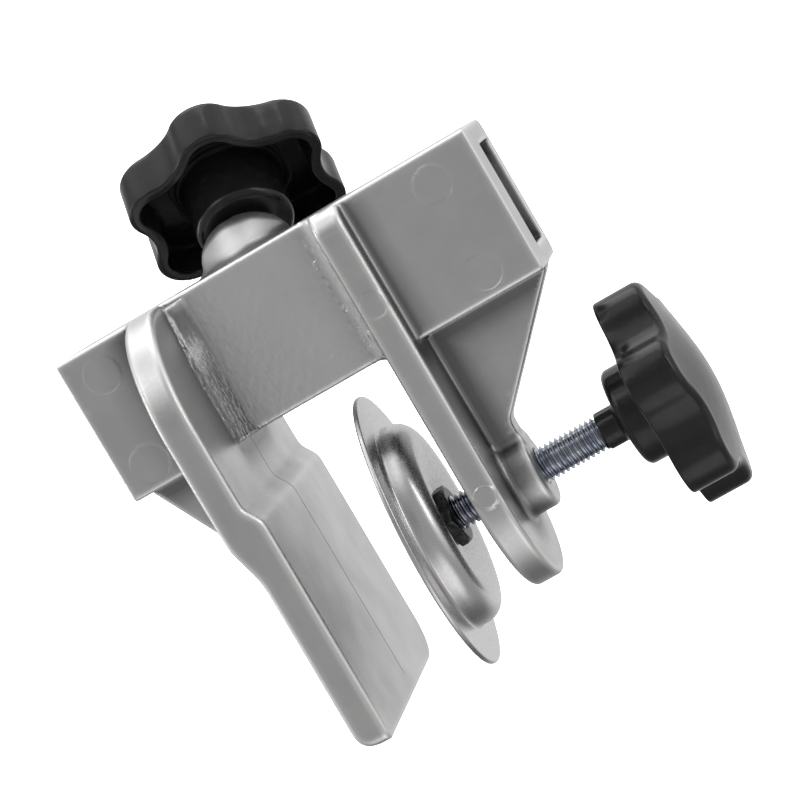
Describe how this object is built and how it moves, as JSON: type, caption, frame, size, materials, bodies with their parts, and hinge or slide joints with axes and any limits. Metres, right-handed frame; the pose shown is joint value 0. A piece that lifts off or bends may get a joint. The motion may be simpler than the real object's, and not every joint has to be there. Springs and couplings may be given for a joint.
{
  "type": "bench clamp bracket",
  "caption": "Cast C-shaped bench clamp with a hollow bar socket along its top, a swivel pressure pad on a hand screw, and a lock screw set on a slant into the socket's upper corner.",
  "frame": {"origin": "where the clamp screw's axis meets the fixed jaw's clamping face, at the middle of the jaw's width", "axes": "+X runs along the clamp screw from the fixed jaw to the clamp knob, +Y towards the lock knob's side, +Z from the screw up to the hollow beam"},
  "size_m": [0.1199, 0.093, 0.1386],
  "materials": {
    "cast_aluminium": "die-cast, tumbled satin with polished edges",
    "zinc_steel": "blue zinc plated",
    "satin_steel": "satin pressed stainless",
    "black_steel": "black oxide",
    "black_plastic": "glossy moulded"
  },
  "bodies": {
    "bracket": {"bracket": "cast_aluminium"},
    "thrust": {"thrust_washer": "satin_steel"},
    "spindle": {"clamp_screw": "zinc_steel", "clamp_knob": "black_plastic", "lock_nut": "black_steel", "retaining_ring": "black_steel"},
    "pad": {"pressure_pad": "satin_steel"},
    "lock": {"lock_screw": "zinc_steel"},
    "lock_handle": {"lock_knob": "black_plastic"}
  },
  "joints": [
    {"name": "clamp_travel", "type": "slide", "parent": "bracket", "child": "thrust", "axis": [-1, 0, 0], "range_m": [-0.006, 0.0145]},
    {"name": "clamp_turn", "type": "hinge", "parent": "thrust", "child": "spindle", "pos_m": [0.05, 0, 0], "axis": [-1, 0, 0], "range_deg": [-1735, 4190]},
    {"name": "pad_tilt", "type": "hinge", "parent": "thrust", "child": "pad", "pos_m": [0.0238, 0, 0], "axis": [0, 1, 0], "range_deg": [-4.1, 0.1]},
    {"name": "lock_travel", "type": "slide", "parent": "bracket", "child": "lock", "axis": [0, -0.6756, -0.7373], "range_m": [-0.008, 0.0003]},
    {"name": "lock_turn", "type": "hinge", "parent": "lock", "child": "lock_handle", "pos_m": [0.0157, 0.02694, 0.08103], "axis": [0, -0.6756, -0.7373], "range_deg": [-2310, 90]}
  ],
  "couplings": [
    {"joint": "clamp_turn", "follows": "clamp_travel", "rad_per_m": 5026.5},
    {"joint": "lock_turn", "follows": "lock_travel", "rad_per_m": 5026.5}
  ]
}
